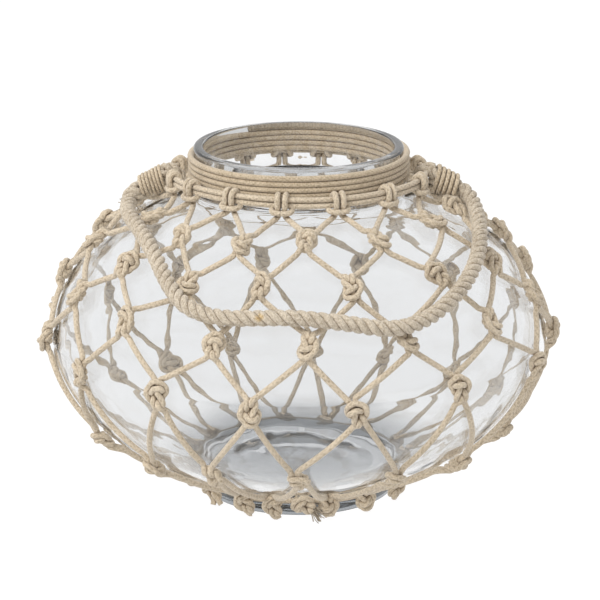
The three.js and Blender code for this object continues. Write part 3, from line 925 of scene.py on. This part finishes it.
def make_hem():
    angles = np.arange(hem_points) * 360 / hem_points
    radius = hem_radius + hem_wander * np.sin(np.radians(angles) * 5)
    line = around(angles, radius, hem_height + hem_wander * np.cos(np.radians(angles) * 7))
    hem = Strands().lay(line, net_strand, closed=True)
    knot = {**hem_knot(hem_join_knot), "lean": 1.1, "size": 0.95}
    for from_left in (True, False):
        strand = strand_in(knot, from_left)
        tied = around(
            hem_join + np.degrees(strand[:, 0] / hem_radius),
            hem_radius - join_in + strand[:, 2],
            hem_height - join_drop + strand[:, 1],
        )
        hem.lay(tied, net_strand)
        ahead = tied[-1] - tied[-4]
        frayed(hem, tied[-1], ahead / np.linalg.norm(ahead) + [0.25, -0.25, -0.5], 31 + from_left)
    finished(hem.made("hem_strand"), net_cotton, "vessel", "net_cotton", "hem_cord")


make_hem()


# ------------------------------------------------------------------ the handle's eyes
# At each side the handle's three-strand cotton rope is folded back round both collar strands
# and squeezed flat there, and its cut end is left sticking out past the lashing.

rope = 10.5 * mm
rope_strand = 2.42 * mm
rope_lay = 19.5 * mm
side_reach = 83.35 * mm
whipping_inner = side_reach + 4.2 * mm
whipping_outer = side_reach + 20.75 * mm
whipping_length = whipping_outer - whipping_inner
whipping_drop = 7.5 * mm
whipping_forward = 7 * mm
eye_squeeze = 0.86
fold_middle = side_reach + 3.9 * mm
fold_width = 8.8 * mm
fold_height = 6.6 * mm
fold_drop = 2.9 * mm
upper_leg_rise = np.array([3.2, 2.9, 1.2]) * mm
lower_leg_drop = np.array([4.8, 4.6, 4.6]) * mm
eye_step = 1.3 * mm
rope_light = (0.70, 0.62, 0.50)
rope_dark = (0.28, 0.22, 0.15)
stain_place = Vector((-24, -157, 165)) * mm

rope_cotton = cotton(
    "rope_cotton", rope_light, rope_dark, 7, -0.6, True, 0.16, 1.6, stain_place
)


def lashing_line(side, reach):
    """Points on the lashing's own line, from the collar out to where the rope leaves it."""
    reach = np.asarray(reach, float)
    share = (reach - side_reach) / (whipping_outer - side_reach)
    return np.stack(np.broadcast_arrays(
        side * reach, -whipping_forward * share, collar_height - whipping_drop * share,
    ), -1)


def laid_rope(strands, line, start_turn=0.0, size=1.0):
    """Lays three strands round a line, as a rope maker twists them."""
    _, across, up = frames(line)
    travel = np.concatenate([[0], np.cumsum(np.linalg.norm(np.diff(line, axis=0), axis=1))])
    helix = (rope / 2 - rope_strand) * size
    for strand in range(3):
        turns = 2 * math.pi * (travel / rope_lay + strand / 3) + start_turn
        offset = across * np.cos(turns)[:, None] + up * np.sin(turns)[:, None]
        strands.lay(line + offset * helix, 2 * rope_strand * size, 12)


def make_eyes():
    for side, name in ((-1, "left"), (1, "right")):
        bend = np.radians(np.linspace(78, 282, 9))
        fold = np.stack([
            side * (fold_middle + fold_width * np.cos(bend)),
            np.zeros(len(bend)),
            collar_height - fold_drop + fold_height * np.sin(bend),
        ], -1)
        leg = lashing_line(side, [whipping_inner, whipping_inner + 7 * mm, whipping_outer])
        # The upper leg sinks in towards the lower one at the outer end, where the rope leaves.
        up = np.array([0, 0, 1])
        upper = leg + upper_leg_rise[:, None] * up
        lower = leg - lower_leg_drop[:, None] * up
        tail = lower[-1] + np.array([side * 6 * mm, -0.5 * mm, -4.5 * mm])
        line = through(np.concatenate([upper[::-1], fold, lower, [tail]]), eye_step)
        strands = Strands()
        laid_rope(strands, line, 0.4, eye_squeeze)
        frayed(strands, line[-1], np.array([side * 0.7, -0.1, -0.6]), 41 + side, 44, 2 * mm)
        finished(
            strands.made(f"folded_eye_{name}"), rope_cotton, "vessel", "rope_cotton",
            f"handle_eye_{name}",
        )


make_eyes()


# ------------------------------------------------------------------ the lashings
# Thin cotton twine bound tight round the doubled rope, which is all that holds each end of the
# handle. The left one is wound close, and the right one in fewer and broader turns.

close_twine = 2.35 * mm
close_turns = 6.6
broad_twine = 2.95 * mm
broad_turns = 4.6
bundle_width = 8.3 * mm
bundle_height = 14.1 * mm
bundle_taper = 2.3 * mm
lashing_points = 330
lashing_wander = 0.18 * mm
twine_light = (0.68, 0.57, 0.42)
twine_dark = (0.27, 0.20, 0.12)

twine_cotton = cotton("twine_cotton", twine_light, twine_dark, 3, 1.0, True)


def make_lashings():
    for side, name, twine, lashing_turns in (
        (-1, "left", close_twine, close_turns),
        (1, "right", broad_twine, broad_turns),
    ):
        share = np.linspace(0, 1, lashing_points)
        turns = 2 * math.pi * lashing_turns * share
        reach = whipping_inner + twine / 2 + (whipping_length - twine) * share
        middle = lashing_line(side, reach)
        half_high = (bundle_height - bundle_taper * share + twine) / 2
        half_wide = (bundle_width + twine) / 2
        wander = drift(21 + side, lashing_points, lashing_wander, 30)
        slope = whipping_drop / (whipping_outer - side_reach)
        upright = np.array([side * slope, 0, 1]) / math.hypot(slope, 1)
        rise = (half_high + wander) * np.sin(turns)
        line = middle + rise[:, None] * upright
        line[:, 1] += (half_wide + wander) * np.cos(turns)
        bound = Strands().lay(line, twine, 8).made(f"lashed_twine_{name}")
        finished(bound, twine_cotton, "vessel", "twine", f"whipping_{name}")


make_lashings()


# ------------------------------------------------------------------ the handle
# A length of three-strand cotton rope, hanging down the front of the bowl from one lashing to
# the other and lying on the net's knots.

rope_gap = 0.3 * mm
rope_step = 1.6 * mm
handle_route = np.array([
    (-109.4, -8.2, 204.5), (-111.3, -13, 200), (-111, -26, 198), (-108, -44, 197),
    (-102, -62, 195), (-96, -79.5, 191.5), (-90, -95, 186), (-84.5, -109, 179),
    (-78, -123, 172), (-69.5, -135, 166), (-57, -143, 162.5), (-40, -149, 162),
    (-21, -152, 163), (-3, -153.5, 163.5), (15, -154, 162), (33, -153.5, 159.5),
    (50, -152, 156.5), (65, -147, 156), (79, -137, 158.5), (91, -124.5, 163.5),
    (101.5, -108.5, 169.5), (109.5, -90, 176.5), (114.5, -70, 184), (116, -50, 190.5),
    (115.5, -31, 196), (113.5, -16, 200.5), (109.8, -8.4, 204.8),
]) * mm


def make_handle():
    start = lashing_line(-1, whipping_outer + rope_gap)
    finish = lashing_line(1, whipping_outer + rope_gap)
    line = through(np.concatenate([[start], handle_route, [finish]]), rope_step)
    strands = Strands()
    laid_rope(strands, line)
    handle = strands.made("handle_three_strand")
    finished(handle, rope_cotton, "handle", "rope_cotton", "handle_rope")


make_handle()


# ------------------------------------------------------------------ floor and light
# A plain white floor under a white sky, one large soft lamp high at the front left, and a
# greyer room behind the viewer that gives the glass its edges.

floor_reach = 30
floor_white = (0.12, 0.12, 0.12, 1)
floor_glow = 0.93
lamp_place = (-0.9, -1.0, 1.5)
lamp_size = 1.0
lamp_watts = 26
lamp_aim = Vector((0, 0, 0.1))
sky_behind_viewer = (0.62, 0.63, 0.65, 1)
sky_beyond = (1.0, 1.0, 1.0, 1)


def make_floor():
    corners = [(-1, -1, 0), (1, -1, 0), (1, 1, 0), (-1, 1, 0)]
    corners = np.array(corners) * floor_reach
    floor = make_mesh("floor", corners, [(0, 1, 2, 3)])
    finish, nodes = new_finish("white_floor")
    shader = nodes.node("ShaderNodeBsdfPrincipled", {}, {
        "Base Color": floor_white,
        "Roughness": 0.9,
        "Specular IOR Level": 0.0,
        "Emission Color": (1, 1, 1, 1),
        "Emission Strength": floor_glow,
    })
    show(nodes, shader)
    floor.data.materials.append(finish)


def make_light():
    world = bpy.data.worlds.new("room")
    bpy.context.scene.world = world
    world.use_nodes = True
    world.node_tree.nodes.clear()
    nodes = Tone(world.node_tree)
    where = nodes.node("ShaderNodeTexCoord", {}, {}, 0)
    depth = nodes.node("ShaderNodeSeparateXYZ", {}, {"Vector": where}, 1)
    colour = (depth * 0.7 + 0.85).within().blend(sky_behind_viewer, sky_beyond)
    sky = nodes.node("ShaderNodeBackground", {}, {"Color": colour, "Strength": 1.0})
    nodes.node("ShaderNodeOutputWorld", {}, {"Surface": sky})
    lamp = bpy.data.objects.new("softbox", bpy.data.lights.new("softbox", "AREA"))
    lamp.data.size = lamp_size
    lamp.data.energy = lamp_watts
    lamp.location = lamp_place
    lamp.rotation_euler = (lamp_aim - lamp.location).to_track_quat("-Z", "Y").to_euler()
    lamp.visible_glossy = False
    lamp.visible_transmission = False
    bpy.context.collection.objects.link(lamp)


make_floor()
make_light()
bpy.context.scene.view_settings.view_transform = "Standard"
